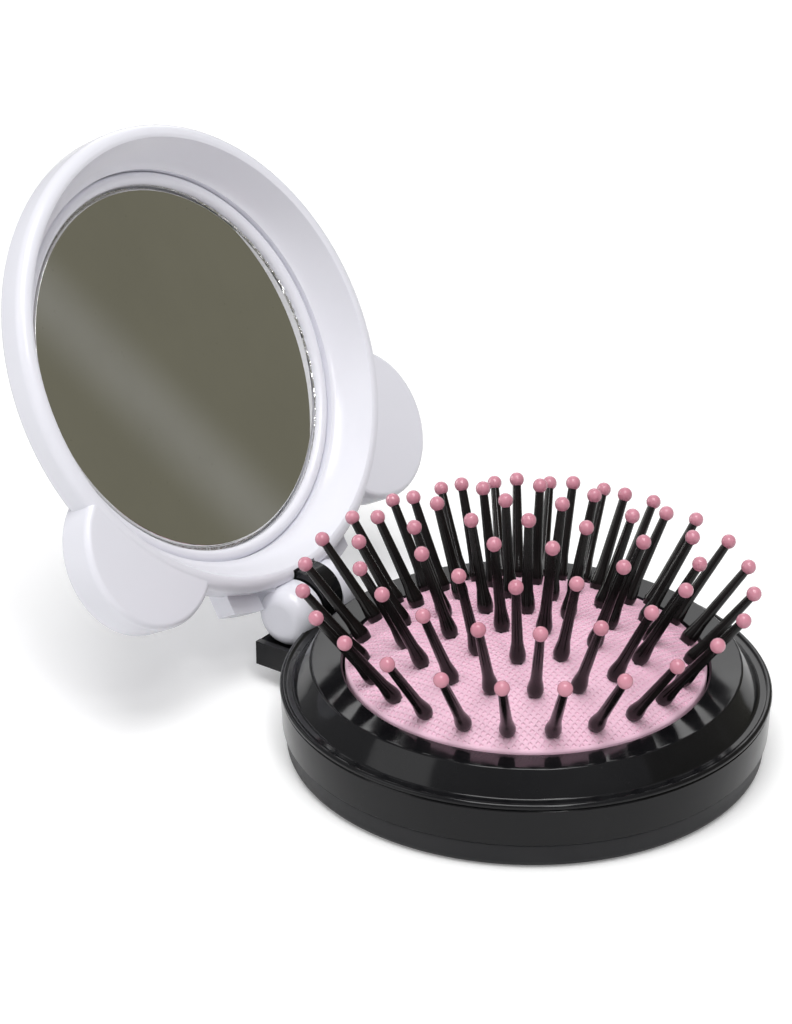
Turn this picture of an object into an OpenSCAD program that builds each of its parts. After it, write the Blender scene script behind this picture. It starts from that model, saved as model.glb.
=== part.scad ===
// Folding hairbrush with a mirror in its lid. Sizes are in millimetres.
// The round base stands on z = 0 with its centre on the Z axis. The lid's hinge
// is towards +Y and runs along X. The lid is drawn open, against its stop.

/* [Base] */
// Radius of the base at its lip
base_radius = 33.4; // [31:0.1:40]
// Height of the lip above the table
lip_height = 9.9; // [9.6:0.1:12]
// How far the side wall draws in at the bottom
wall_draw = 0.3; // [0.2:0.1:1.2]
// Width of the flat ledge inside the lip, with the lip's bead
ledge_width = 2.1; // [1.9:0.1:3]
// Width of the sloping band that rises from the ledge
band_width = 2.8; // [2:0.1:4]
// Rise of the band above the lip
band_rise = 3; // [2:0.1:3.4]
// Width of the bevel from the band's crest down to the pad
bevel_width = 3.7; // [2.5:0.1:5]
// Fall of that bevel
bevel_fall = 0.5; // [0.1:0.1:1]
// Wall thickness of the base
base_wall = 1.6; // [1.2:0.1:2.2]
// Wall thickness of the sleeve that the pad slides in
sleeve_wall = 1.2; // [0.8:0.1:2]
// Depth of the groove under the lip's bead
groove_depth = 0.3; // [0.1:0.05:0.4]

/* [Bottom cover] */
// Height of the bottom cover's edge, up to the seam
seam_height = 3.6; // [3:0.1:4.4]
// Thickness of the bottom cover
cover_thickness = 1.2; // [0.8:0.1:1.6]
// Step between the side wall and the cover's edge
cover_step = 0.3; // [0.1:0.05:0.8]
// Rounding of the cover's lower edge
cover_round = 1.4; // [1:0.1:2]
// Radius of the thumb opening
thumb_radius = 11; // [9:0.5:12.5]
// Height of the collar round the thumb opening
collar_height = 6.4; // [5.6:0.1:7]
// Wall thickness of that collar
collar_wall = 1.2; // [0.8:0.1:2]

/* [Pad] */
// Radial clearance between the pad and its sleeve
pad_clearance = 0.3; // [0.2:0.05:0.5]
// Radius of the sphere that the pad's face belongs to
pad_sphere = 43.3; // [40:0.1:60]
// Thickness of the textured sheet
sheet_thickness = 1; // [0.6:0.1:1.4]
// Thickness of the plate under the sheet
plate_thickness = 1.4; // [1:0.1:2]
// Depth of the plate's edge below the sheet
plate_skirt = 1; // [0.6:0.1:1.4]
// Travel of the pad between popped up and pressed in
pad_travel = 6.4; // [5.6:0.1:7]

/* [Push button] */
// Radial clearance between the button and its collar
button_clearance = 0.4; // [0.2:0.05:0.8]
// Thickness of the button
button_thickness = 1.6; // [1.2:0.1:2.4]
// How far the button stands in when the pad is pressed in
button_recess = 0.2; // [0.1:0.05:0.6]
// Radius of the post that joins the button to the plate
post_radius = 3; // [2:0.1:5]

/* [Pins] */
// Turn of the rows of pins about the upright axis, in degrees
pad_turn = -2.5; // [-15:0.5:15]
// Number of rings round the centre pin
rings = 4; // [2:1:4]
// Distance from the last ring to the pad's edge
edge_margin = 2.5; // [2:0.1:5]
// Length of a pin from its foot to the centre of its ball
pin_length = 13.6; // [9:0.1:16]
// How much further each ring leans out, in degrees
lean_step = 9.2; // [0:0.1:9.6]
// Radius of a pin at its foot
foot_radius = 1.12; // [0.8:0.01:1.4]
// Radius of a pin above its foot
stem_radius = 0.78; // [0.6:0.01:1]
// Radius of a pin under its ball
neck_radius = 0.6; // [0.4:0.01:0.8]
// Height of the flared foot
foot_height = 3.4; // [2:0.1:5]
// Radius of the ball on a pin's end
ball_radius = 1.02; // [0.9:0.01:1.3]

/* [Lid] */
// How far the lid's edge stands out past the base's lip
lid_over = 0.5; // [-0.5:0.1:0.8]
// Gap between the shut lid and the lip
lid_gap = 0.15; // [0.1:0.05:0.5]
// Height of the lid's rim above the mirror's face
rim_rise = 6.8; // [5.8:0.1:7.4]
// Radius of the rim's rounded top
rim_round = 1.5; // [1.2:0.1:1.8]
// Width of the hollowed ring between the lid's edge and the bead
ring_width = 5.3; // [5:0.1:7]
// Height of the hollowed ring's inner edge above the mirror's face
ring_foot = 1.4; // [0.8:0.1:2]
// Height above the mirror's face at which the side starts to draw in
side_height = 2.4; // [2:0.1:3.5]
// How far the side draws in for each millimetre of depth
side_draw = 1.1; // [0.6:0.05:1.1]
// Depth of the back cover below the mirror's face
back_depth = 4.6; // [4.2:0.1:6]
// Wall thickness of the back cover
back_wall = 1.4; // [1:0.1:1.6]
// Height of the rounding between the back cover's side and its face
back_round = 0.4; // [0.2:0.1:0.8]

/* [Lobes] */
// Radius of each round lobe beside the hinge
lobe_radius = 11.3; // [9:0.1:12]
// How far each lobe's centre lies inside the lid's edge
lobe_in = 2; // [0.5:0.1:4]
// Angle between the hinge and each lobe, seen from the lid's centre
lobe_angle = 52; // [46:0.5:64]
// Distance of the lobes' faces behind the rim's top
lobe_drop = 0.2; // [0.1:0.1:1.5]
// Height of the lobes' backs above the mirror's face
lobe_back = 0.8; // [0.4:0.1:2]
// Rounding of the lobes' edges
lobe_round = 0.9; // [0.3:0.1:1.5]

/* [Mirror] */
// Width of the white bead round the mirror
bead_width = 1.9; // [1.4:0.1:2.4]
// Height of the bead above the mirror's face
bead_rise = 1; // [0.8:0.1:1.3]
// Gap between the bead and the mirror's edge
mirror_gap = 0.5; // [0.2:0.05:0.8]
// Thickness of the mirror's glass
glass_thickness = 1.1; // [0.8:0.1:1.3]
// Bevel on the glass edge
glass_bevel = 0.25; // [0.1:0.05:0.5]
// Thickness of the foil that holds the mirror
foil_thickness = 0.2; // [0.1:0.05:0.3]
// Thickness of the lid's floor under the foil
floor_thickness = 1.1; // [0.8:0.1:1.4]

/* [Hinge] */
// Angle of the open lid from shut, in degrees
open_angle = 119; // [90:0.5:125]
// Distance of the hinge axis outside the lid's edge
hinge_out = 2.9; // [2.6:0.05:3.3]
// Height of the hinge axis above the shut lid's rim
hinge_rise = 1.3; // [1:0.05:1.6]
// Radius of the lid's knuckles
knuckle_radius = 4.4; // [4:0.1:4.6]
// How far a knuckle's middle lies off the hinge axis
knuckle_offset = 1.2; // [0:0.1:1.4]
// Direction of that offset, in degrees outwards from the lid's plane to its back
knuckle_lean = 29; // [0:1:60]
// Width of each knuckle
knuckle_width = 4.8; // [4:0.1:6]
// Rounding of a knuckle's outer end
knuckle_round = 2.2; // [0.6:0.1:2.6]
// Width of the arm between the knuckles
arm_width = 4.2; // [3.4:0.1:5]
// Radius of the arm
arm_radius = 4.3; // [3.9:0.1:4.5]
// Radius of the arm's hub behind its flat end
hub_radius = 2; // [1.6:0.1:2.4]
// Angle of the arm's flat end above the axis, in degrees
arm_end = 45; // [30:1:80]
// Clearance round the knuckles and the arm
hinge_clearance = 0.3; // [0.2:0.05:0.4]
// Radius of the hinge pin
axle_radius = 0.8; // [0.6:0.05:1]
// Radial clearance of the hinge pin in its bores
axle_clearance = 0.05; // [0.02:0.01:0.1]
// Wall left at the blind end of each knuckle's bore
blind_wall = 1.2; // [0.8:0.1:2]
// Width of the square lug beside each knuckle
lug_width = 5.6; // [3:0.1:7]
// Gap between a lug and its knuckle
lug_gap = 0.4; // [0.3:0.1:2]
// How far the lugs stand out from the lid's edge
lug_reach = 2.6; // [1:0.1:3.5]
// Height of the lugs' backs above the mirror's face
lug_back = 0.2; // [0:0.1:1]
// Height of the lugs
lug_height = 3.4; // [2:0.1:4]

/* [Shelf] */
// Half the width of the shelf under the hinge
shelf_half = 8.5; // [8:0.1:10]
// How far the shelf reaches past the hinge axis
shelf_reach = 3.2; // [2:0.1:4]
// Height of the shelf's lip above the table
shelf_height = 6.5; // [6.1:0.1:6.9]
// Height of the shelf's underside above the table
shelf_lift = 2.9; // [2.6:0.1:3.8]
// Depth of the cradle block behind the lip
cradle_depth = 6.5; // [5:0.1:8]

/* [Hidden] */
$fn = 96;
// small overreach of cutting shapes past the faces that they cut
over = 1;

// base
ledge_radius = base_radius - ledge_width;
crest_radius = ledge_radius - band_width;
sleeve_radius = crest_radius - bevel_width;
crest_height = lip_height + band_rise;
bevel_height = crest_height - bevel_fall;
foot_edge = base_radius - wall_draw;
cover_radius = foot_edge - cover_step;
lip_round = 0.45;
ledge_fall = 0.3;
ledge_height = lip_height - ledge_fall;
crest_round = 0.5;

// pad: the sphere's centre follows from the pad's edge meeting the bevel
pad_radius = sleeve_radius - pad_clearance;
sphere_z = bevel_height - sqrt(pow(pad_sphere, 2) - pow(pad_radius, 2));
ring_step = (pad_radius - edge_margin) / 4;
sheet_sphere = pad_sphere - sheet_thickness;
plate_sphere = sheet_sphere - plate_thickness;
button_z = pad_travel + button_recess;
button_radius = thumb_radius - button_clearance;

// lid, drawn with the mirror's face at z = 0 and its front towards +Z
lid_radius = base_radius + lid_over;
bead_radius = lid_radius - ring_width;
recess_radius = bead_radius - bead_width;
mirror_radius = recess_radius - mirror_gap;
seat_depth = glass_thickness + foil_thickness;
mirror_z = lip_height + lid_gap + rim_rise;
seam_depth = seat_depth + floor_thickness;
seam_radius = lid_radius - (side_height + seam_depth) * side_draw;
channel_out = lid_radius - rim_round - 0.6;

// hinge
hinge_y = lid_radius + hinge_out;
hinge_z = lip_height + lid_gap + hinge_rise;
axis_w = rim_rise - hinge_rise;
knuckle_in = arm_width / 2 + hinge_clearance;
knuckle_out = knuckle_in + knuckle_width;
bore_radius = axle_radius + axle_clearance;
bore_end = knuckle_out - blind_wall;
swing_radius = knuckle_radius + knuckle_offset + hinge_clearance;

function arc(x, y, r, a, b, n) =
    [for (i = [0:n]) let (t = a + (b - a) * i / n) [x + r * cos(t), y + r * sin(t)]];
function pad_z(r) = sphere_z + sqrt(pow(pad_sphere, 2) - pow(r, 2));
function channel(u) = ring_foot + (rim_rise - 0.2 - ring_foot) * pow(u, 1.6);

// ---- base ----

module base_profile() {
    band_in = 1.7;
    wall_radius = base_radius - 0.15;
    polygon(concat(
        [[foot_edge - 0.25, seam_height], [foot_edge, seam_height + 0.3],
         [foot_edge + (wall_radius - foot_edge) * 0.72, seam_height + 2.2],
         [wall_radius, lip_height - 2.6], [wall_radius, lip_height - 1.7 * lip_round - 0.3],
         [wall_radius - groove_depth, lip_height - 1.7 * lip_round]],
        arc(base_radius - lip_round, lip_height - lip_round, lip_round, -25, 150, 8),
        [[base_radius - 2.4 * lip_round, ledge_height]],
        arc(ledge_radius + 0.5, ledge_height + 0.5, 0.5, -90, -140, 4),
        arc(crest_radius + crest_round, crest_height - crest_round, crest_round, 45, 98, 5),
        [[sleeve_radius + 0.3, bevel_height + 0.04], [sleeve_radius, bevel_height - 0.3],
         [sleeve_radius, cover_thickness],
         [sleeve_radius + sleeve_wall, cover_thickness],
         [sleeve_radius + sleeve_wall, bevel_height - base_wall],
         [crest_radius - 0.2, crest_height - band_in],
         [ledge_radius - 0.6, ledge_height - base_wall],
         [base_radius - base_wall, ledge_height - base_wall],
         [foot_edge - base_wall, seam_height]]));
}

module about_axis(r, half, from = 0) {
    translate([from - half, hinge_y, hinge_z]) rotate([0, 90, 0])
        cylinder(r = r, h = 2 * half);
}

// room that a knuckle sweeps from shut to open
module knuckle_room(s) {
    half = knuckle_width / 2 + hinge_clearance;
    middle = s * (knuckle_in + knuckle_width / 2);
    swing = knuckle_lean - open_angle;
    translate([0, knuckle_offset * cos(swing), knuckle_offset * sin(swing)])
        about_axis(knuckle_radius + hinge_clearance, half, middle);
    intersection() {
        about_axis(swing_radius, half, middle);
        translate([middle - half - over, hinge_y, 0]) cube(4 * swing_radius);
    }
}

module arm_shape() {
    difference() {
        union() {
            about_axis(arm_radius, arm_width / 2);
            translate([-arm_width / 2, ledge_radius - over, shelf_lift + 1])
                cube([arm_width, hinge_y - ledge_radius + over, ledge_height - shelf_lift - 1]);
        }
        // everything behind the flat end, down to the shelf, leaves a hub only
        difference() {
            translate([0, hinge_y, hinge_z]) rotate([arm_end, 0, 0])
                translate([-arm_width, 0, -3 * arm_radius])
                    cube([2 * arm_width, 3 * arm_radius, 3 * arm_radius]);
            about_axis(hub_radius, arm_width);
            translate([-arm_width, ledge_radius - over, -over])
                cube([2 * arm_width, hinge_y - ledge_radius + over - hub_radius, 3 * arm_radius]);
        }
    }
}

module base_shell() color([0.03, 0.03, 0.035]) {
    difference() {
        union() {
            rotate_extrude() base_profile();
            // block behind the hinge, inside the wall
            intersection() {
                translate([-shelf_half, ledge_radius - cradle_depth + base_wall, seam_height])
                    cube([2 * shelf_half, cradle_depth + ledge_width,
                          ledge_height - seam_height - base_wall / 2]);
                difference() {
                    cylinder(r = foot_edge, h = 2 * lip_height);
                    translate([0, 0, -over])
                        cylinder(r = sleeve_radius + sleeve_wall / 2, h = 3 * lip_height);
                }
            }
            // shelf that the open lid's knuckles sit over
            difference() {
                translate([-shelf_half, ledge_radius + base_wall, shelf_lift])
                    cube([2 * shelf_half, hinge_y + shelf_reach - ledge_radius - base_wall,
                          shelf_height - shelf_lift]);
                // hollow under the shelf's outer lip
                translate([-shelf_half + base_wall, base_radius + 0.6, shelf_lift - over])
                    cube([2 * (shelf_half - base_wall), shelf_reach - 0.2,
                          hinge_z - swing_radius - 0.8 * base_wall - shelf_lift + over]);
            }
        }
        for (s = [-1, 1]) knuckle_room(s);
        about_axis(arm_radius - 0.6, arm_width / 2 + hinge_clearance);
    }
    difference() {
        arm_shape();
        about_axis(bore_radius, arm_width);
    }
}

module base_cover() color([0.045, 0.045, 0.05]) {
    rotate_extrude() polygon(concat(
        [[thumb_radius, 0]],
        arc(cover_radius - 0.2 - cover_round, cover_round, cover_round, -90, 0, 9),
        [[cover_radius, seam_height], [cover_radius - base_wall, seam_height],
         [cover_radius - base_wall - 0.2, cover_thickness + 1.6],
         [cover_radius - base_wall - 1.4, cover_thickness],
         [thumb_radius + collar_wall, cover_thickness],
         [thumb_radius + collar_wall, cover_thickness + collar_height],
         [thumb_radius, cover_thickness + collar_height]]));
}

// ---- pad ----

module cap(outer, inner, r, bottom) {
    intersection() {
        translate([0, 0, sphere_z]) difference() {
            sphere(r = outer, $fn = 180);
            sphere(r = inner, $fn = 180);
        }
        translate([0, 0, bottom]) cylinder(r = r, h = pad_sphere);
    }
}

module pad_sheet() color([0.93, 0.72, 0.83])
    cap(pad_sphere, sheet_sphere, pad_radius, bevel_height - 4 * sheet_thickness);

module pin_plate() color([0.05, 0.05, 0.055]) {
    plate_radius = pad_radius - 0.4;
    skirt_z = sphere_z + sqrt(pow(sheet_sphere, 2) - pow(plate_radius, 2)) - plate_skirt
        - plate_thickness;
    cap(sheet_sphere, plate_sphere, plate_radius, bevel_height - 4 * plate_thickness);
    intersection() {
        translate([0, 0, skirt_z]) difference() {
            cylinder(r = plate_radius, h = plate_skirt + 2 * plate_thickness);
            translate([0, 0, -over])
                cylinder(r = plate_radius - plate_thickness, h = plate_skirt + 4 * plate_thickness);
        }
        translate([0, 0, sphere_z]) sphere(r = sheet_sphere, $fn = 180);
    }
}

module push_button() color([0.05, 0.05, 0.055]) {
    difference() {
        union() {
            translate([0, 0, button_z]) cylinder(r = button_radius, h = button_thickness);
            intersection() {
                translate([0, 0, button_z]) cylinder(r = post_radius, h = pad_sphere);
                translate([0, 0, sphere_z]) sphere(r = plate_sphere, $fn = 180);
            }
        }
        // shallow dish for the thumb
        translate([0, 0, button_z - 6 * button_radius + 0.5])
            sphere(r = 6 * button_radius, $fn = 180);
    }
}

// ---- pins ----

neck_length = pin_length - sqrt(pow(ball_radius, 2) - pow(neck_radius, 2));

module at_pin(k, i) {
    count = max(1, 6 * k);
    r = ring_step * k;
    rotate([0, 0, 360 / count * i + pad_turn]) translate([r, 0, pad_z(r)])
        rotate([0, lean_step * k, 0]) children();
}

module stem() {
    rotate_extrude($fn = 32) polygon([
        [0, -2 * foot_radius], [foot_radius - 0.22, -2 * foot_radius], [foot_radius - 0.2, 0],
        [foot_radius, 0.6], [foot_radius, 1.1], [foot_radius - 0.12, foot_height * 0.5],
        [stem_radius, foot_height], [neck_radius, neck_length], [0, neck_length]]);
}

module ball() {
    translate([0, 0, pin_length]) difference() {
        sphere(r = ball_radius, $fn = 32);
        translate([-ball_radius, -ball_radius, neck_length - pin_length - 2 * ball_radius])
            cube(2 * ball_radius);
    }
}

module pin_ring(k) color([0.07, 0.055, 0.055]) {
    if (k <= rings) difference() {
        for (i = [0:max(1, 6 * k) - 1]) at_pin(k, i) stem();
        translate([0, 0, sphere_z]) sphere(r = pad_sphere, $fn = 180);
    }
}

module tip_ring(k) color([0.8, 0.5, 0.58]) {
    if (k <= rings) for (i = [0:max(1, 6 * k) - 1]) at_pin(k, i) ball();
}

module pins_centre() pin_ring(0);
module pins_ring_1() pin_ring(1);
module pins_ring_2() pin_ring(2);
module pins_ring_3() pin_ring(3);
module pins_ring_4() pin_ring(4);
module tips_centre() tip_ring(0);
module tips_ring_1() tip_ring(1);
module tips_ring_2() tip_ring(2);
module tips_ring_3() tip_ring(3);
module tips_ring_4() tip_ring(4);

// ---- lid ----

// takes the lid from its own frame to the open lid's place
module open_lid() {
    translate([0, hinge_y, hinge_z]) rotate([-open_angle, 0, 0])
        translate([0, -hinge_y, mirror_z - hinge_z]) rotate([180, 0, 0]) children();
}

// the hinge axis in the lid's own frame
module at_hinge(x) {
    translate([x, -hinge_y, axis_w]) rotate([0, 90, 0]) children();
}

module frame_profile() {
    polygon(concat(
        [[seam_radius, -seam_depth], [lid_radius - 0.3 * side_draw, side_height - 0.3],
         [lid_radius, side_height + 0.3]],
        arc(lid_radius - rim_round, rim_rise - rim_round, rim_round, 0, 100, 10),
        [for (i = [0:10]) let (u = 1 - i / 10)
            [bead_radius + (channel_out - bead_radius) * u, channel(u)]],
        [[bead_radius, -seat_depth], [0, -seat_depth], [0, -seam_depth]]));
}

module lobe_shape() {
    top = rim_rise - lobe_drop;
    rotate_extrude() polygon(concat(
        [[0, lobe_back]],
        arc(lobe_radius - lobe_round, lobe_back + lobe_round, lobe_round, -90, 0, 6),
        arc(lobe_radius - lobe_round, top - lobe_round, lobe_round, 0, 90, 6),
        [[0, top]]));
}

module knuckle(s) {
    // the rounded end faces away from the arm
    translate([0, -knuckle_offset * cos(knuckle_lean), -knuckle_offset * sin(knuckle_lean)])
        at_hinge(0) mirror([0, 0, s > 0 ? 0 : 1]) rotate_extrude() polygon(concat(
            [[0, knuckle_in], [knuckle_radius, knuckle_in]],
            arc(knuckle_radius - knuckle_round, knuckle_out - knuckle_round, knuckle_round,
                0, 90, 8),
            [[0, knuckle_out]]));
    // web between the knuckle and the lid's side
    web = knuckle_width - knuckle_round / 2;
    translate([s > 0 ? knuckle_in : -knuckle_in - web, -hinge_y, axis_w - knuckle_radius])
        cube([web, hinge_y - channel_out, knuckle_radius]);
}

module lug(s) {
    x = s > 0 ? knuckle_out + lug_gap : -knuckle_out - lug_gap - lug_width;
    intersection() {
        translate([x, -lid_radius - lug_reach, lug_back])
            cube([lug_width, lid_radius, lug_height]);
        cylinder(r = lid_radius + lug_reach, h = 4 * rim_rise);
    }
}

module lid_frame() color([0.9, 0.9, 0.94]) open_lid() {
    difference() {
        union() {
            rotate_extrude() frame_profile();
            difference() {
                for (s = [-1, 1]) {
                    rotate([0, 0, -90 + s * lobe_angle])
                        translate([lid_radius - lobe_in, 0, 0]) lobe_shape();
                    knuckle(s);
                    lug(s);
                }
                translate([0, 0, -over]) cylinder(r = channel_out + 0.1, h = 4 * rim_rise);
            }
        }
        at_hinge(-knuckle_in) cylinder(r = arm_radius + hinge_clearance, h = 2 * knuckle_in);
        at_hinge(-bore_end) cylinder(r = bore_radius, h = 2 * bore_end);
    }
}

module lid_back() color([0.9, 0.9, 0.94]) open_lid() {
    edge = seam_radius - 0.05;
    foot = edge - (back_depth - back_round - seam_depth) * side_draw;
    rotate_extrude() polygon([
        [edge, -seam_depth], [foot, -back_depth + back_round],
        [foot - 0.8 * back_round, -back_depth + 0.25 * back_round],
        [foot - 2 * back_round, -back_depth + 0.05], [0, -back_depth],
        [0, -back_depth + back_wall], [foot - back_wall, -back_depth + back_wall + 0.05],
        [edge - back_wall, -seam_depth]]);
}

module mirror_bead() color([0.91, 0.91, 0.95]) open_lid() {
    rotate_extrude() polygon(concat(
        [[recess_radius, -seat_depth], [bead_radius, -seat_depth]],
        arc(recess_radius + bead_width / 2, bead_rise - bead_width / 2, bead_width / 2, 0, 180, 12)));
}

module mirror_glass() color([0.6, 0.6, 0.55]) open_lid() {
    rotate_extrude() polygon([
        [0, -glass_thickness], [mirror_radius, -glass_thickness], [mirror_radius, -glass_bevel],
        [mirror_radius - glass_bevel, 0], [0, 0]]);
}

module mirror_foil() color([0.75, 0.75, 0.75]) open_lid() {
    translate([0, 0, -seat_depth])
        cylinder(r = recess_radius - mirror_gap / 4, h = foil_thickness);
}

module hinge_pin() color([0.7, 0.7, 0.7]) {
    about_axis(axle_radius, bore_end - 0.2);
}

base_shell();
base_cover();
pad_sheet();
pin_plate();
push_button();
pins_centre();
pins_ring_1();
pins_ring_2();
pins_ring_3();
pins_ring_4();
tips_centre();
tips_ring_1();
tips_ring_2();
tips_ring_3();
tips_ring_4();
lid_frame();
lid_back();
mirror_bead();
mirror_glass();
mirror_foil();
hinge_pin();
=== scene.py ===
import math

import bmesh
import bpy
import numpy as np
from mathutils import Matrix, Vector


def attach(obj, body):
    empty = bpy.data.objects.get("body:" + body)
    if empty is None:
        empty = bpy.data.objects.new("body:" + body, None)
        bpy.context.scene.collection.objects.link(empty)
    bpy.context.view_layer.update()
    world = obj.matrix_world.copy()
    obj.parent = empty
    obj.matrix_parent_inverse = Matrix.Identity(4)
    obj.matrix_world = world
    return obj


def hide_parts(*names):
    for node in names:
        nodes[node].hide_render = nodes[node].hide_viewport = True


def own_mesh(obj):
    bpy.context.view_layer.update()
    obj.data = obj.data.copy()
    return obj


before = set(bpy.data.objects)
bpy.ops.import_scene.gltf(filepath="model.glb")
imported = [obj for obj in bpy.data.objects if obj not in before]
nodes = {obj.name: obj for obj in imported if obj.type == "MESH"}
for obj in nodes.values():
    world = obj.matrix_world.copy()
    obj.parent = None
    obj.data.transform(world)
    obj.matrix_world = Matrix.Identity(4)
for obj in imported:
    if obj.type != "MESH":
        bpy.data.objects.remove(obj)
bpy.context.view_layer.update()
mm = 0.001


def placeObject(name, data):
    made = bpy.data.objects.new(name, data)
    bpy.context.scene.collection.objects.link(made)
    return made


# ---- camera: worked out from the rings of the base and the ball tips ----

cameraSetup = {
    "azimuth": -54.2,            # degrees, 0 looks along +Y
    "elevation": 25.98,
    "distance": 0.4105,          # metres from the aimed point
    "focalPixels": 3000,
    "framePixels": (792, 1024),
    "aimedPixel": (524.48, 717.23),
    "aimedHeight": 3.6 * mm,     # on the Z axis
}


def makeCamera(setup):
    a, e = math.radians(setup["azimuth"]), math.radians(setup["elevation"])
    back = Vector((math.sin(a) * math.cos(e), -math.cos(a) * math.cos(e), math.sin(e)))
    right = Vector((math.cos(a), math.sin(a), 0))
    up = back.cross(right)
    wide, high = setup["framePixels"]
    perPixel = setup["distance"] / setup["focalPixels"]
    across = (setup["aimedPixel"][0] - wide / 2) * perPixel
    down = (setup["aimedPixel"][1] - high / 2) * perPixel
    place = (Vector((0, 0, setup["aimedHeight"])) + back * setup["distance"]
             - right * across + up * down)
    camera = placeObject("camera", bpy.data.cameras.new("camera"))
    camera.data.sensor_width = 36
    camera.data.lens = setup["focalPixels"] / high * 36
    camera.data.clip_start, camera.data.clip_end = 0.02, 20
    turn = Matrix((right, up, back)).transposed().to_4x4()
    camera.matrix_world = Matrix.Translation(place) @ turn
    bpy.context.scene.camera = camera


makeCamera(cameraSetup)
print("camera ready")

# ---- small helpers for shader trees ----


def startMaterial(name):
    material = bpy.data.materials.new(name)
    material.use_nodes = True
    tree = material.node_tree
    tree.nodes.clear()
    output = tree.nodes.new("ShaderNodeOutputMaterial")
    surface = tree.nodes.new("ShaderNodeBsdfPrincipled")
    coords = tree.nodes.new("ShaderNodeTexCoord")
    tree.links.new(surface.outputs["BSDF"], output.inputs["Surface"])
    return material, tree, surface, coords.outputs["Object"]


def noiseIn(tree, coords, scale, detail=3.0, roughness=0.5, stretch=None):
    if stretch:
        mapping = tree.nodes.new("ShaderNodeMapping")
        mapping.inputs["Scale"].default_value = stretch
        tree.links.new(coords, mapping.inputs["Vector"])
        coords = mapping.outputs["Vector"]
    noise = tree.nodes.new("ShaderNodeTexNoise")
    noise.inputs["Scale"].default_value = scale
    noise.inputs["Detail"].default_value = detail
    noise.inputs["Roughness"].default_value = roughness
    tree.links.new(coords, noise.inputs["Vector"])
    return noise.outputs["Fac"]


def specksIn(tree, coords, scale, size):
    cells = tree.nodes.new("ShaderNodeTexVoronoi")
    cells.inputs["Scale"].default_value = scale
    tree.links.new(coords, cells.inputs["Vector"])
    return rangeIn(tree, cells.outputs["Distance"], size * 0.6, size, 1, 0)


def rangeIn(tree, value, low, high, toLow, toHigh):
    node = tree.nodes.new("ShaderNodeMapRange")
    node.inputs["From Min"].default_value = low
    node.inputs["From Max"].default_value = high
    node.inputs["To Min"].default_value = toLow
    node.inputs["To Max"].default_value = toHigh
    tree.links.new(value, node.inputs["Value"])
    return node.outputs["Result"]


def mathIn(tree, kind, first, second):
    node = tree.nodes.new("ShaderNodeMath")
    node.operation = kind
    for socket, value in zip(node.inputs, (first, second)):
        if isinstance(value, (int, float)):
            socket.default_value = value
        else:
            tree.links.new(value, socket)
    return node.outputs["Value"]


def blendIn(tree, factor, first, second):
    node = tree.nodes.new("ShaderNodeMix")
    node.data_type = "RGBA"
    tree.links.new(factor, node.inputs["Factor"])
    for socket, value in ((node.inputs[6], first), (node.inputs[7], second)):
        if isinstance(value, tuple):
            socket.default_value = (*value, 1)
        else:
            tree.links.new(value, socket)
    return node.outputs[2]


def bumpIn(tree, height, strength, distance, below=None):
    node = tree.nodes.new("ShaderNodeBump")
    node.inputs["Strength"].default_value = strength
    node.inputs["Distance"].default_value = distance
    tree.links.new(height, node.inputs["Height"])
    if below:
        tree.links.new(below, node.inputs["Normal"])
    return node.outputs["Normal"]


# ---- finishes ----

finishes = {
    "glossBlack": {"colour": (0.005, 0.005, 0.006), "worn": (0.009, 0.009, 0.010),
                   "roughness": (0.07, 0.13), "specular": 0.28, "dust": 0.02},
    "satinBlack": {"colour": (0.013, 0.013, 0.015), "worn": (0.021, 0.021, 0.023),
                   "roughness": (0.34, 0.48), "specular": 0.25, "dust": 0.03},
    "pinBlack": {"colour": (0.004, 0.003, 0.003), "worn": (0.008, 0.006, 0.006),
                 "roughness": (0.14, 0.22), "specular": 0.35, "dust": 0.0},
    "padPink": {"colour": (0.91, 0.60, 0.735), "worn": (0.88, 0.55, 0.69),
                "roughness": (0.46, 0.66), "specular": 0.4, "dust": 0.0},
    "tipPink": {"colour": (0.66, 0.285, 0.36), "worn": (0.58, 0.23, 0.30),
                "roughness": (0.12, 0.20), "specular": 0.5, "dust": 0.0},
    "lidWhite": {"colour": (0.81, 0.81, 0.87), "worn": (0.803, 0.803, 0.864),
                 "roughness": (0.20, 0.23), "specular": 0.45, "dust": 0.006},
}


mouldDetail = {
    "dustColour": (0.62, 0.61, 0.60), "dustScale": 700, "dustSize": 0.10,
    "waveDistance": 0.4 * mm, "grainDistance": 0.1 * mm,
}
polishDetail = {
    "worn": 0.93,                # share of the colour where a film lies on it
    "speckColour": (0.55, 0.55, 0.52), "speckScale": 420, "speckSize": 0.06, "speckShare": 0.35,
    "foldScale": 900, "foldDistance": 0.5 * mm,
}


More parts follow.
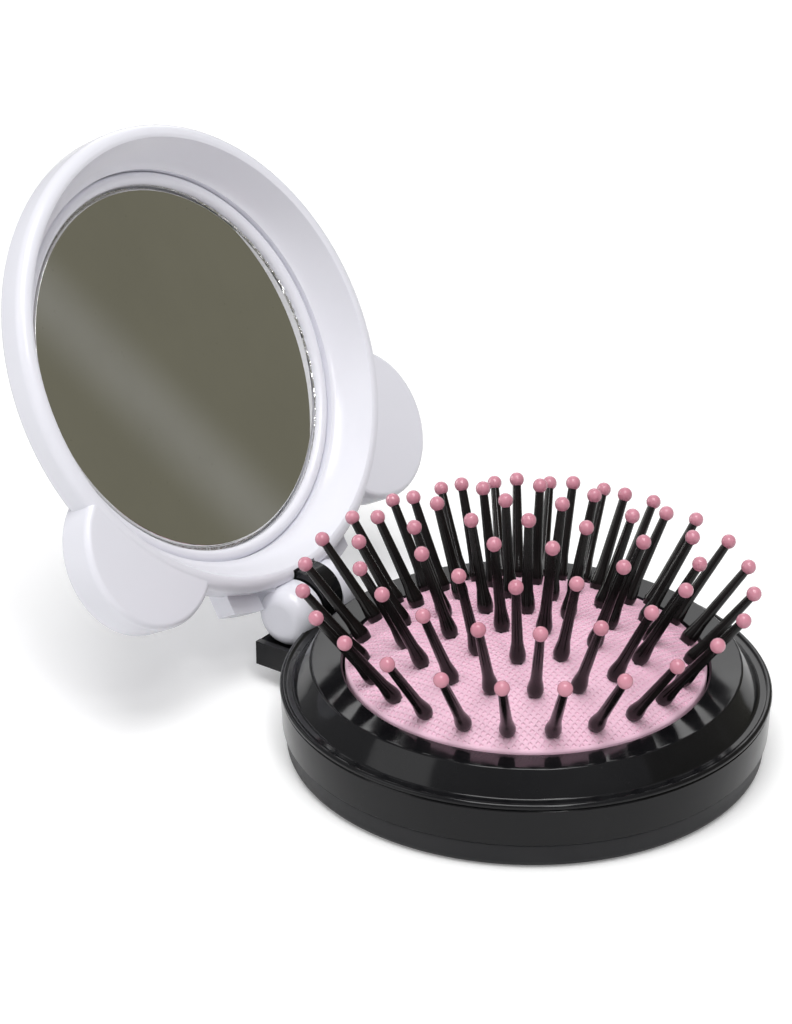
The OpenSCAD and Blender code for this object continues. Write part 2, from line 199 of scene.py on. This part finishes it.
def moulded(name, grain=900, waves=130, grainDepth=0.02, waveDepth=0.05):
    values = finishes[name]
    material, tree, surface, coords = startMaterial(name)
    cloud = noiseIn(tree, coords, waves * 0.6, 4, 0.55)
    fine = noiseIn(tree, coords, grain, 3, 0.6)
    scratches = noiseIn(tree, coords, grain * 0.5, 2, 0.5, (0.06, 1.0, 1.0))
    colour = blendIn(tree, rangeIn(tree, cloud, 0.35, 0.7, 0, 1),
                     values["colour"], values["worn"])
    if values["dust"]:
        specks = specksIn(tree, coords, mouldDetail["dustScale"], mouldDetail["dustSize"])
        patches = rangeIn(tree, noiseIn(tree, coords, 60, 2), 0.5, 0.7, 0, values["dust"])
        colour = blendIn(tree, mathIn(tree, "MULTIPLY", specks, patches), colour,
                         mouldDetail["dustColour"])
    tree.links.new(colour, surface.inputs["Base Color"])
    mixed = mathIn(tree, "ADD", mathIn(tree, "MULTIPLY", cloud, 0.6),
                   mathIn(tree, "MULTIPLY", scratches, 0.4))
    rough = rangeIn(tree, mixed, 0.35, 0.68, *values["roughness"])
    tree.links.new(rough, surface.inputs["Roughness"])
    surface.inputs["Specular IOR Level"].default_value = values["specular"]
    slow = bumpIn(tree, noiseIn(tree, coords, waves, 1, 0.4), waveDepth,
                  mouldDetail["waveDistance"])
    tree.links.new(bumpIn(tree, fine, grainDepth, mouldDetail["grainDistance"], slow),
                   surface.inputs["Normal"])
    return material


def polished(name, colour, roughness, smudge, crinkle=0.0):
    material, tree, surface, coords = startMaterial(name)
    surface.inputs["Metallic"].default_value = 1.0
    film = noiseIn(tree, coords, 55, 4, 0.6, (1.0, 0.45, 1.0))
    detail = polishDetail
    specks = mathIn(tree, "MULTIPLY", specksIn(tree, coords, detail["speckScale"],
                                               detail["speckSize"]), detail["speckShare"])
    tinted = blendIn(tree, rangeIn(tree, film, 0.35, 0.75, 0, 1), colour,
                     tuple(c * detail["worn"] for c in colour))
    tree.links.new(blendIn(tree, specks, tinted, detail["speckColour"]),
                   surface.inputs["Base Color"])
    tree.links.new(rangeIn(tree, film, 0.4, 0.8, roughness, roughness + smudge),
                   surface.inputs["Roughness"])
    if crinkle:
        folds = noiseIn(tree, coords, detail["foldScale"], 3, 0.6)
        tree.links.new(bumpIn(tree, folds, crinkle, detail["foldDistance"]),
                       surface.inputs["Normal"])
    return material


glossBlack = moulded("glossBlack")
satinBlack = moulded("satinBlack", grain=1600, grainDepth=0.12)
pinBlack = moulded("pinBlack", grain=1500, waves=300, grainDepth=0.05)
padPink = moulded("padPink", grain=2600, waves=90, grainDepth=0.12)
tipPink = moulded("tipPink", grain=1800, waves=160, grainDepth=0.03)
lidWhite = moulded("lidWhite", grain=1100, waves=60, grainDepth=0.003, waveDepth=0.003)
mirrorSilver = polished("mirrorSilver", (0.86, 0.86, 0.83), 0.015, 0.05)
foilSilver = polished("foilSilver", (0.86, 0.86, 0.86), 0.16, 0.2, 0.9)
pinSteel = polished("pinSteel", (0.62, 0.61, 0.60), 0.25, 0.15)
print("finishes ready:", len(bpy.data.materials))

# ---- pieces that keep the solid's shape, with rounded edges ----

edgeSetup = {
    "mergeDistance": 0.002 * mm,
    "smoothBelow": 34,           # degrees between faces
    "flatBelow": 0.5,
    "segments": 2,
}


def roundedCopy(node, piece, body, slot, material, width):
    mesh = nodes[node].data.copy()
    shape = bmesh.new()
    shape.from_mesh(mesh)
    bmesh.ops.remove_doubles(shape, verts=shape.verts, dist=edgeSetup["mergeDistance"])
    bmesh.ops.dissolve_limit(shape, angle_limit=math.radians(edgeSetup["flatBelow"]),
                             verts=shape.verts, edges=shape.edges)
    limit = math.radians(edgeSetup["smoothBelow"])
    for face in shape.faces:
        face.smooth = True
    for edge in shape.edges:
        edge.smooth = len(edge.link_faces) == 2 and edge.calc_face_angle(0) < limit
    shape.to_mesh(mesh)
    shape.free()
    mesh.name = piece
    mesh.materials.clear()
    mesh.materials.append(material)
    made = placeObject(piece, mesh)
    if width:
        bevel = made.modifiers.new("edges", "BEVEL")
        bevel.width = width * mm
        bevel.segments = edgeSetup["segments"]
        bevel.limit_method = "ANGLE"
        bevel.angle_limit = limit
        bevel.harden_normals = False
        bevel.use_clamp_overlap = True
    normals = made.modifiers.new("evenNormals", "WEIGHTED_NORMAL")
    normals.keep_sharp = True
    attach(made, body)
    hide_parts(node)


roundedPieces = [   # node, piece, body, slot, finish, width of the rounded edges in mm
    ("base_shell", "baseBody", "base", "black_gloss", glossBlack, 0.12),
    ("base_cover", "bottomCover", "base", "black_satin", satinBlack, 0.12),
    ("lid_frame", "lidFront", "lid", "lid_white", lidWhite, 0.14),
    ("lid_back", "lidBackCover", "lid", "lid_white", lidWhite, 0.12),
    ("mirror_bead", "mirrorRim", "lid", "lid_white", lidWhite, 0.0),
    ("mirror_glass", "mirrorPane", "lid", "mirror_silver", mirrorSilver, 0.05),
    ("push_button", "thumbButton", "bristle_pad", "black_satin", satinBlack, 0.2),
]
for row in roundedPieces:
    roundedCopy(*row)
for name, material in (("pin_plate", satinBlack), ("mirror_foil", foilSilver),
                       ("hinge_pin", pinSteel)):
    nodes[name].data.materials.clear()
    nodes[name].data.materials.append(material)
print("rounded pieces ready")

# ---- embossed pad ----

padSetup = {
    "radius": 24.5 * mm,
    "sphereRadius": 43.3 * mm,
    "edgeHeight": 12.4 * mm,     # the pad's top edge above the table
    "pitch": 0.73 * mm,
    "ridge": 0.17,               # share of the pitch on each side of a recess
    "depth": 0.17 * mm,
    "border": 0.38 * mm,         # plain edge round the embossed face
    "thickness": 1.0 * mm,
    "turn": -2.5,                # degrees, of the embossed rows and of the pins
}


def domeCentre(setup):
    return setup["edgeHeight"] - math.sqrt(setup["sphereRadius"] ** 2 - setup["radius"] ** 2)


class TreeMaker:
    def __init__(self, name):
        self.tree = bpy.data.node_groups.new(name, "GeometryNodeTree")
        self.tree.interface.new_socket(name="Geometry", in_out="INPUT",
                                       socket_type="NodeSocketGeometry")
        self.tree.interface.new_socket(name="Geometry", in_out="OUTPUT",
                                       socket_type="NodeSocketGeometry")
        self.sockets = {}

    def ask(self, name, kind, value=None):
        socket = self.tree.interface.new_socket(name=name, in_out="INPUT", socket_type=kind)
        if value is not None:
            socket.default_value = value
        self.sockets[name] = socket.identifier

    def begin(self):
        self.inputs = self.tree.nodes.new("NodeGroupInput")
        self.output = self.tree.nodes.new("NodeGroupOutput")

    def node(self, kind, links=None, **settings):
        made = self.tree.nodes.new(kind)
        for key, value in settings.items():
            setattr(made, key, value)
        for key, value in (links or {}).items():
            socket = made.inputs[key]
            if isinstance(value, bpy.types.NodeSocket):
                self.tree.links.new(value, socket)
            else:
                socket.default_value = value
        return made

    def math(self, kind, first, second=0.0, third=0.0):
        made = self.tree.nodes.new("ShaderNodeMath")
        made.operation = kind
        for socket, value in zip(made.inputs, (first, second, third)):
            if isinstance(value, bpy.types.NodeSocket):
                self.tree.links.new(value, socket)
            else:
                socket.default_value = value
        return made.outputs[0]

    def run(self, values, name):
        carrier = placeObject(name, bpy.data.meshes.new(name))
        modifier = carrier.modifiers.new("shape", "NODES")
        modifier.node_group = self.tree
        for key, value in values.items():
            modifier[self.sockets[key]] = value
        carrier.update_tag()
        graph = bpy.context.evaluated_depsgraph_get()
        mesh = bpy.data.meshes.new_from_object(carrier.evaluated_get(graph))
        carrier.modifiers.clear()
        bpy.data.objects.remove(carrier)
        return mesh


def padTree():
    maker = TreeMaker("padEmboss")
    for name, kind in (("Cells", "NodeSocketInt"), ("Pitch", "NodeSocketFloat"),
                       ("Ridge", "NodeSocketFloat"), ("Depth", "NodeSocketFloat"),
                       ("Face Radius", "NodeSocketFloat"), ("Sphere Radius", "NodeSocketFloat"),
                       ("Sphere Height", "NodeSocketFloat"), ("Finish", "NodeSocketMaterial")):
        maker.ask(name, kind)
    maker.begin()
    given = maker.inputs.outputs
    count = maker.math("MULTIPLY", given["Cells"], 4.0)
    span = maker.math("MULTIPLY", maker.math("SUBTRACT", count, 1.0),
                      maker.math("DIVIDE", given["Pitch"], 4.0))
    grid = maker.node("GeometryNodeMeshGrid", {"Size X": span, "Size Y": span,
                                               "Vertices X": count, "Vertices Y": count})
    place = maker.node("ShaderNodeSeparateXYZ",
                       {"Vector": maker.node("GeometryNodeInputPosition").outputs[0]})
    shifted, sunk = [], []
    for axis in (0, 1):
        # cell number and the place within the cell, from -0.5 to 0.5
        scaled = maker.math("DIVIDE", place.outputs[axis], given["Pitch"])
        cell = maker.math("FLOOR", scaled)
        within = maker.math("SUBTRACT", maker.math("SUBTRACT", scaled, cell), 0.5)
        side = maker.math("SIGN", within)
        inner = maker.math("LESS_THAN", maker.math("ABSOLUTE", within), 0.25)
        edge = maker.math("SUBTRACT", 0.5, given["Ridge"])
        floorHalf = maker.math("SUBTRACT", edge, 0.07)
        half = maker.math("ADD", edge, maker.math("MULTIPLY", inner,
                          maker.math("SUBTRACT", floorHalf, edge)))
        local = maker.math("ADD", maker.math("MULTIPLY", side, half), 0.5)
        shifted.append(maker.math("MULTIPLY", maker.math("ADD", cell, local), given["Pitch"]))
        sunk.append(inner)
    flat = maker.math("ADD", maker.math("MULTIPLY", shifted[0], shifted[0]),
                      maker.math("MULTIPLY", shifted[1], shifted[1]))
    squared = maker.math("MULTIPLY", given["Sphere Radius"], given["Sphere Radius"])
    dome = maker.math("ADD", given["Sphere Height"], maker.math(
        "SQRT", maker.math("MAXIMUM", maker.math("SUBTRACT", squared, flat), 0.0)))
    dent = maker.math("MULTIPLY", maker.math("MULTIPLY", sunk[0], sunk[1]), given["Depth"])
    point = maker.node("ShaderNodeCombineXYZ", {"X": shifted[0], "Y": shifted[1],
                                                "Z": maker.math("SUBTRACT", dome, dent)})
    moved = maker.node("GeometryNodeSetPosition", {"Geometry": grid.outputs["Mesh"],
                                                   "Position": point.outputs[0]})
    after = maker.node("ShaderNodeSeparateXYZ",
                       {"Vector": maker.node("GeometryNodeInputPosition").outputs[0]})
    distance = maker.math("SQRT", maker.math(
        "ADD", maker.math("MULTIPLY", after.outputs[0], after.outputs[0]),
        maker.math("MULTIPLY", after.outputs[1], after.outputs[1])))
    outside = maker.math("GREATER_THAN", distance, given["Face Radius"])
    kept = maker.node("GeometryNodeDeleteGeometry", {"Geometry": moved.outputs["Geometry"],
                                                     "Selection": outside}, domain="POINT")
    real = maker.node("GeometryNodeRealizeInstances", {"Geometry": kept.outputs["Geometry"]})
    done = maker.node("GeometryNodeSetMaterial", {"Geometry": real.outputs["Geometry"],
                                                  "Material": given["Finish"]})
    maker.tree.links.new(done.outputs["Geometry"], maker.output.inputs["Geometry"])
    return maker


def lathe(shape, profile, steps):
    rings = []
    for radius, height in profile:
        if radius < 1e-9:
            rings.append([shape.verts.new((0, 0, height))])
        else:
            rings.append([shape.verts.new((radius * math.cos(2 * math.pi * i / steps),
                                           radius * math.sin(2 * math.pi * i / steps), height))
                          for i in range(steps)])
    for first, second in zip(rings, rings[1:]):
        for i in range(steps):
            j = (i + 1) % steps
            corners = [first[i % len(first)], first[j % len(first)],
                       second[j % len(second)], second[i % len(second)]]
            unique = list(dict.fromkeys(corners))
            if len(unique) > 2:
                shape.faces.new(unique)


def makePad(setup):
    sphereHeight = domeCentre(setup)
    cells = 2 * math.ceil(setup["radius"] / setup["pitch"]) + 2
    maker = padTree()
    mesh = maker.run({"Cells": cells, "Pitch": setup["pitch"], "Ridge": setup["ridge"],
                      "Depth": setup["depth"], "Face Radius": setup["radius"] - 0.05 * mm,
                      "Sphere Radius": setup["sphereRadius"], "Sphere Height": sphereHeight,
                      "Finish": padPink}, "padSheet")
    mesh.transform(Matrix.Rotation(math.radians(setup["turn"]), 4, "Z"))
    shape = bmesh.new()
    shape.from_mesh(mesh)

    def onDome(radius, sink):
        return sphereHeight + math.sqrt((setup["sphereRadius"] - sink) ** 2 - radius ** 2)

    # plain rounded edge that covers the cut cells, then the wall and the underside
    outer, border = setup["radius"], setup["border"]
    profile = [(outer - border - 0.1 * mm, onDome(outer - border, 0.3 * mm)),
               (outer - border, onDome(outer - border, 0) + 0.01 * mm),
               (outer - border * 0.8, onDome(outer - border * 0.8, 0) + 0.03 * mm),
               (outer - border * 0.4, onDome(outer - border * 0.4, 0) + 0.02 * mm),
               (outer - border * 0.1, onDome(outer, 0) - 0.04 * mm),
               (outer, onDome(outer, 0) - 0.15 * mm),
               (outer, onDome(outer, setup["thickness"]))]
    profile += [(outer * share, onDome(outer * share, setup["thickness"]))
                for share in (0.85, 0.7, 0.55, 0.4, 0.25, 0.12, 0)]
    lathe(shape, profile, 160)
    bmesh.ops.recalc_face_normals(shape, faces=[f for f in shape.faces if len(f.verts) > 2])
    shape.to_mesh(mesh)
    shape.free()
    mesh.materials.clear()
    mesh.materials.append(padPink)
    made = placeObject("padSheet", mesh)
    mesh.shade_smooth()
    mesh.set_sharp_from_angle(angle=math.radians(24))
    return made


pad = makePad(padSetup)
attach(pad, "bristle_pad")
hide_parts("pad_sheet")
print("pad ready:", len(pad.data.polygons), "faces")

# ---- pins and their balls ----

pinSetup = {
    "rings": 4,
    "ringStep": 5.5 * mm,
    "leanStep": 9.2,             # degrees for each ring
    "length": 13.6 * mm,         # from the pad to the centre of the ball
    "sunk": 0.9 * mm,            # how deep a pin's foot goes into the pad
    "profile": [(0.92, -0.9), (0.93, -0.05), (0.98, 0.12), (1.08, 0.45), (1.12, 0.8),
                (1.12, 1.1), (1.07, 1.5), (0.98, 2.1), (0.87, 2.8), (0.79, 3.5),
                (0.74, 5.5), (0.68, 8.5), (0.63, 11.0), (0.60, 12.6), (0.60, 12.85)],
    "ballRadius": 1.02 * mm,
    "stemSteps": 18,
    "ballRings": 9,
    "drawnIn": 1.3 * mm,         # depth that a pin draws in to when the pad goes down
    "keep": 0.035,
}


def pinTree():
    maker = TreeMaker("pinRing")
    for name, kind in (("Count", "NodeSocketInt"), ("Turn", "NodeSocketFloat"),
                       ("Ring Radius", "NodeSocketFloat"),
                       ("Sphere Radius", "NodeSocketFloat"), ("Sphere Height", "NodeSocketFloat"),
                       ("Lean", "NodeSocketFloat"), ("Shape", "NodeSocketObject"),
                       ("Finish", "NodeSocketMaterial")):
        maker.ask(name, kind)
    maker.begin()
    given = maker.inputs.outputs
    index = maker.node("GeometryNodeInputIndex").outputs[0]
    turn = maker.math("MULTIPLY_ADD", index,
                      maker.math("DIVIDE", 2 * math.pi, given["Count"]), given["Turn"])
    reach = given["Ring Radius"]
    height = maker.math("ADD", given["Sphere Height"], maker.math("SQRT", maker.math(
        "SUBTRACT", maker.math("MULTIPLY", given["Sphere Radius"], given["Sphere Radius"]),
        maker.math("MULTIPLY", reach, reach))))
    place = maker.node("ShaderNodeCombineXYZ", {
        "X": maker.math("MULTIPLY", reach, maker.math("COSINE", turn)),
        "Y": maker.math("MULTIPLY", reach, maker.math("SINE", turn)), "Z": height})
    points = maker.node("GeometryNodePoints", {"Count": given["Count"],
                                               "Position": place.outputs[0]})
    angles = maker.node("ShaderNodeCombineXYZ", {"X": 0.0, "Y": given["Lean"], "Z": turn})
    rotation = maker.node("FunctionNodeEulerToRotation", {"Euler": angles.outputs[0]})
    pin = maker.node("GeometryNodeObjectInfo", {"Object": given["Shape"]})
    placed = maker.node("GeometryNodeInstanceOnPoints", {
        "Points": points.outputs[0], "Instance": pin.outputs["Geometry"],
        "Rotation": rotation.outputs[0]})
    real = maker.node("GeometryNodeRealizeInstances", {"Geometry": placed.outputs[0]})
    done = maker.node("GeometryNodeSetMaterial", {"Geometry": real.outputs["Geometry"],
                                                  "Material": given["Finish"]})
    maker.tree.links.new(done.outputs["Geometry"], maker.output.inputs["Geometry"])
    return maker


def latheObject(name, profile, steps):
    shape = bmesh.new()
    lathe(shape, profile, steps)
    bmesh.ops.recalc_face_normals(shape, faces=shape.faces)
    mesh = bpy.data.meshes.new(name)
    shape.to_mesh(mesh)
    shape.free()
    return placeObject(name, mesh)


def splitEvenly(mesh, count):
    points = np.zeros(len(mesh.vertices) * 3)
    mesh.vertices.foreach_get("co", points)
    points = points.reshape(count, -1, 3)
    perPin = len(mesh.polygons) // count
    local = [tuple(face.vertices) for face in mesh.polygons[:perPin]]
    for i in range(count):
        part = bpy.data.meshes.new(f"part{i}")
        part.from_pydata(points[i].tolist(), [], local)
        yield part


def makePins(setup, padValues):
    sphereHeight = domeCentre(padValues)
    stemProfile = [(0, -setup["sunk"])] + [(r * mm, z * mm) for r, z in setup["profile"]]
    stemProfile.append((0, setup["profile"][-1][1] * mm))
    ballProfile = []
    for i in range(setup["ballRings"] + 1):
        t = -math.pi / 2 + math.pi * i / setup["ballRings"]
        pole = i in (0, setup["ballRings"])
        ballProfile.append((0.0 if pole else setup["ballRadius"] * math.cos(t),
                            setup["length"] + setup["ballRadius"] * math.sin(t)))
    stem = latheObject("stemShape", stemProfile, setup["stemSteps"])
    ball = latheObject("ballShape", ballProfile, setup["stemSteps"])
    maker = pinTree()
    made = 0
    start = math.radians(padValues["turn"])
    for ring in range(setup["rings"] + 1):
        count = max(1, 6 * ring)
        lean = math.radians(setup["leanStep"] * ring)
        radius = setup["ringStep"] * ring
        for shape, material, slot, kind in ((stem, pinBlack, "pin_black", "pin"),
                                            (ball, tipPink, "tip_pink", "tip")):
            node = f"{kind}s_centre" if ring == 0 else f"{kind}s_ring_{ring}"
            mesh = maker.run({"Count": count, "Turn": start, "Ring Radius": radius,
                              "Sphere Radius": padValues["sphereRadius"],
                              "Sphere Height": sphereHeight, "Lean": lean,
                              "Shape": shape, "Finish": material}, "pinRing")
            # each pin is a piece of its own, because each draws in along its own axis
            for i, part in enumerate(splitEvenly(mesh, count)):
                part.materials.append(material)
                part.shade_smooth()
                part.set_sharp_from_angle(angle=math.radians(50))
                piece = placeObject(f"{kind}Ring{ring}n{i:02d}", part)
                part.name = piece.name
                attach(piece, "bristle_pad")
                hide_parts(node)
                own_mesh(piece)
                made += 1
            bpy.data.meshes.remove(mesh)
    for helper in (stem, ball):
        bpy.data.objects.remove(helper)
    return made


print("pins and balls ready:", makePins(pinSetup, padSetup))

# ---- ragged bright edge of the foil, on one side of the mirror ----

lidSetup = {
    "hinge": (36.8 * mm, 11.35 * mm),   # y and z of the hinge's axis
    "openAngle": 119.0,
    "shutMirror": 16.85 * mm,           # height of the mirror's face in the shut lid
}


def lidMatrix(setup):
    y, z = setup["hinge"]
    opened = Matrix.Rotation(-math.radians(setup["openAngle"]), 4, "X")
    faceDown = Matrix.Rotation(math.pi, 4, "X")
    return (Matrix.Translation((0, y, z)) @ opened
            @ Matrix.Translation((0, -y, setup["shutMirror"] - z)) @ faceDown)


foilSetup = {
    "outer": 26.75 * mm,
    "inner": 26.1 * mm,
    "ragged": 0.35 * mm,
    "steps": 360,
    "lift": 0.04 * mm,
    "showing": (8.0, 48.0),      # middle and half width of the side where it shows, degrees
    "seed": 7,
}


def makeFoilEdge(setup):
    rng = np.random.default_rng(setup["seed"])
    steps = setup["steps"]
    angles = np.arange(steps) * 2 * math.pi / steps
    wave = sum(np.sin(angles * n + rng.uniform(0, 6.28)) * a
               for n, a in ((3, 0.5), (7, 0.35), (17, 0.3), (41, 0.3), (83, 0.25)))
    jag = rng.uniform(-1, 1, steps) * 0.5
    inner = setup["inner"] + np.clip(wave + jag, -1.2, 1.2) * setup["ragged"] * 0.6
    middle, half = (math.radians(value) for value in setup["showing"])
    away = np.abs((angles - middle + math.pi) % (2 * math.pi) - math.pi)
    shows = np.clip(1.5 - away / half, 0, 1)
    inner = inner * shows + (setup["outer"] - 0.1 * mm) * (1 - shows)
    lift = (setup["lift"] + rng.uniform(0, 1, steps) * 0.12 * mm) * shows
    shape = bmesh.new()
    rows = [[shape.verts.new((inner[i] * math.cos(t), inner[i] * math.sin(t), 0.01 * mm))
             for i, t in enumerate(angles)],
            [shape.verts.new(((inner[i] * 0.6 + setup["outer"] * 0.4) * math.cos(t),
                              (inner[i] * 0.6 + setup["outer"] * 0.4) * math.sin(t), lift[i]))
             for i, t in enumerate(angles)],
            [shape.verts.new((setup["outer"] * math.cos(t), setup["outer"] * math.sin(t),
                              -0.2 * mm)) for t in angles]]
    for first, second in zip(rows, rows[1:]):
        for i in range(steps):
            j = (i + 1) % steps
            shape.faces.new((first[i], second[i], second[j], first[j]))
    mesh = bpy.data.meshes.new("foilEdge")
    shape.to_mesh(mesh)
    shape.free()
    mesh.transform(lidMatrix(lidSetup))
    mesh.materials.append(foilSilver)
    made = placeObject("foilEdge", mesh)
    thick = made.modifiers.new("thickness", "SOLIDIFY")
    thick.thickness = 0.03 * mm
    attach(made, "lid")


makeFoilEdge(foilSetup)
print("foil edge ready")

# ---- floor, backdrop and light ----

studio = {
    "floorSize": 6.0,
    "floorColour": (0.90, 0.90, 0.90),
    "floorGlow": 0.19,           # for the camera only: turns the lit floor white
    "worldColour": (1.0, 1.0, 1.0),
    "worldLight": 0.36,
    "lamps": [  # name, place, aim, size, power, colour
        ("topBox", (-0.25, -0.15, 1.2), (0, 0, 0), (0.7, 0.7), 10.4, (1, 1, 1)),
        ("sparkBox", (-0.40, -0.50, 0.80), (0, 0, 0.01), (0.14, 0.14), 1.1, (1, 1, 1)),
        ("leftBox", (-0.75, 0.45, 0.55), (0, 0.02, 0.02), (0.5, 0.6), 1.1, (1, 1, 1)),
        ("backBox", (0.75, 0.55, 0.5), (0, 0, 0.01), (0.5, 0.5), 1.2, (1, 1, 1)),
    ],
}


def makeStudio(setup):
    world = bpy.data.worlds.new("studioWorld")
    bpy.context.scene.world = world
    world.use_nodes = True
    tree = world.node_tree
    tree.nodes.clear()
    output = tree.nodes.new("ShaderNodeOutputWorld")
    path = tree.nodes.new("ShaderNodeLightPath")
    seen = tree.nodes.new("ShaderNodeBackground")
    lit = tree.nodes.new("ShaderNodeBackground")
    choose = tree.nodes.new("ShaderNodeMixShader")
    seen.inputs["Color"].default_value = (1, 1, 1, 1)
    seen.inputs["Strength"].default_value = 1.0
    lit.inputs["Color"].default_value = (*setup["worldColour"], 1)
    lit.inputs["Strength"].default_value = setup["worldLight"]
    tree.links.new(path.outputs["Is Camera Ray"], choose.inputs[0])
    tree.links.new(lit.outputs[0], choose.inputs[1])
    tree.links.new(seen.outputs[0], choose.inputs[2])
    tree.links.new(choose.outputs[0], output.inputs["Surface"])

    half = setup["floorSize"] / 2
    mesh = bpy.data.meshes.new("studioFloor")
    mesh.from_pydata([(-half, -half, 0), (half, -half, 0), (half, half, 0), (-half, half, 0)],
                     [], [(0, 1, 2, 3)])
    floor = placeObject("studioFloor", mesh)
    material, tree, surface, coords = startMaterial("palePaper")
    paper = noiseIn(tree, coords, 900, 3)
    tree.links.new(blendIn(tree, paper, setup["floorColour"],
                           tuple(c * 0.985 for c in setup["floorColour"])),
                   surface.inputs["Base Color"])
    surface.inputs["Roughness"].default_value = 0.9
    surface.inputs["Specular IOR Level"].default_value = 0.1
    path = tree.nodes.new("ShaderNodeLightPath")
    surface.inputs["Emission Color"].default_value = (1, 1, 1, 1)
    glow = mathIn(tree, "MULTIPLY", path.outputs["Is Camera Ray"], setup["floorGlow"])
    tree.links.new(glow, surface.inputs["Emission Strength"])
    mesh.materials.append(material)

    for name, place, aim, size, power, colour in setup["lamps"]:
        lamp = bpy.data.lights.new(name, "AREA")
        lamp.shape = "RECTANGLE"
        lamp.size, lamp.size_y = size
        lamp.energy = power
        lamp.color = colour
        made = placeObject(name, lamp)
        made.location = place
        made.rotation_euler = (Vector(aim) - Vector(place)).to_track_quat("-Z", "Y").to_euler()


makeStudio(studio)

cardSetup = {   # a dim card that only the mirror and gloss see
    "mirrorCentre": (0, 0.0594, 0.0408),
    "direction": (0.7291, -0.6501, 0.2137),
    "distance": 0.55,
    "size": 0.9,
    "dark": (0.165, 0.158, 0.122),
    "light": (0.235, 0.23, 0.205),
    "streak": (0.0556, 0.035),   # middle and half width, as shares of half the card
}


def makeCard(setup):
    away = Vector(setup["direction"]).normalized()
    side = away.cross(Vector((0, 0, 1))).normalized()
    rise = side.cross(away)
    centre = Vector(setup["mirrorCentre"]) + away * setup["distance"]
    half = setup["size"] / 2
    mesh = bpy.data.meshes.new("dimCard")
    mesh.from_pydata([tuple(side * x * half + rise * y * half) for x, y in
                      ((-1, -1), (1, -1), (1, 1), (-1, 1))], [], [(0, 1, 2, 3)])
    card = placeObject("dimCard", mesh)
    card.location = centre
    layer = mesh.uv_layers.new(name="UVMap")
    for loop, uv in zip(layer.data, ((-1, -1), (1, -1), (1, 1), (-1, 1))):
        loop.uv = uv
    material, tree, surface, coords = startMaterial("dimCard")
    uv = tree.nodes.new("ShaderNodeUVMap")
    parts = tree.nodes.new("ShaderNodeSeparateXYZ")
    tree.links.new(uv.outputs[0], parts.inputs[0])
    middle, wide = setup["streak"]
    band = tree.nodes.new("ShaderNodeValToRGB")
    tree.links.new(rangeIn(tree, parts.outputs[0], middle - wide, middle + wide, 0, 1),
                   band.inputs[0])
    stops = [(0.0, setup["dark"]), (0.5, setup["light"]), (1.0, setup["dark"])]
    while len(band.color_ramp.elements) < len(stops):
        band.color_ramp.elements.new(0.5)
    for element, (at, colour) in zip(band.color_ramp.elements, stops):
        element.position = at
        element.color = (*colour, 1)
    band.color_ramp.interpolation = "EASE"
    surface.inputs["Base Color"].default_value = (0, 0, 0, 1)
    surface.inputs["Specular IOR Level"].default_value = 0.0
    tree.links.new(band.outputs[0], surface.inputs["Emission Color"])
    surface.inputs["Emission Strength"].default_value = 1.0
    mesh.materials.append(material)
    card.visible_camera = False
    card.visible_diffuse = False
    card.visible_shadow = False
    card.visible_transmission = False


makeCard(cardSetup)

scene = bpy.context.scene
scene.view_settings.view_transform = "Standard"
print("studio ready")
